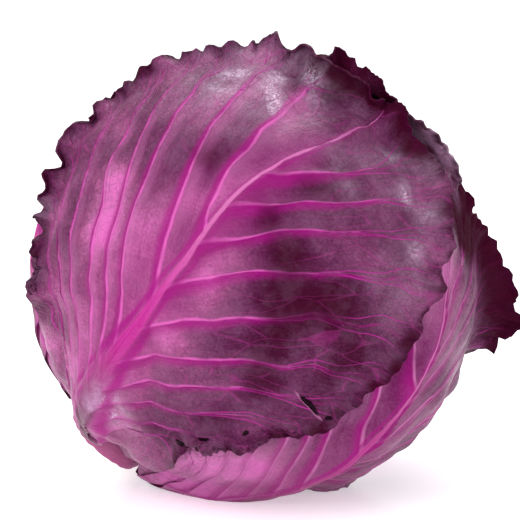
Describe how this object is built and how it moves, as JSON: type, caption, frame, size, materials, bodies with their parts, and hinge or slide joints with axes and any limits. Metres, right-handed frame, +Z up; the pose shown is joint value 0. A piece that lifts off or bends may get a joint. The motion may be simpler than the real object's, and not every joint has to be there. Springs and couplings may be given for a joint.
{
  "type": "red cabbage head",
  "caption": "Red cabbage head on its side: a firm inner head and cut stalk, wrapped in waved, ribbed outer leaves with curled margins.",
  "frame": {"origin": "on the small flat spot that the head rests on, below the middle of the head", "axes": "+Z up; +X towards the crown side and the flared margin of the lower leaf; the outermost leaf faces -Y"},
  "size_m": [0.1681, 0.1511, 0.1598],
  "materials": {
    "outer_leaf": "waxy, dark purple blade with magenta veins",
    "inner_leaf": "waxy, paler purple blade with pale veins",
    "inner_head": "waxy, smooth and tightly packed",
    "stalk": "cut, pale and fibrous"
  },
  "bodies": {
    "root": {"heart": "inner_head", "stalk": "stalk", "wrapper_leaf_1": "outer_leaf", "wrapper_leaf_2": "outer_leaf", "wrapper_leaf_3": "outer_leaf", "wrapper_leaf_4": "inner_leaf", "wrapper_leaf_5": "inner_leaf"}
  },
  "joints": []
}
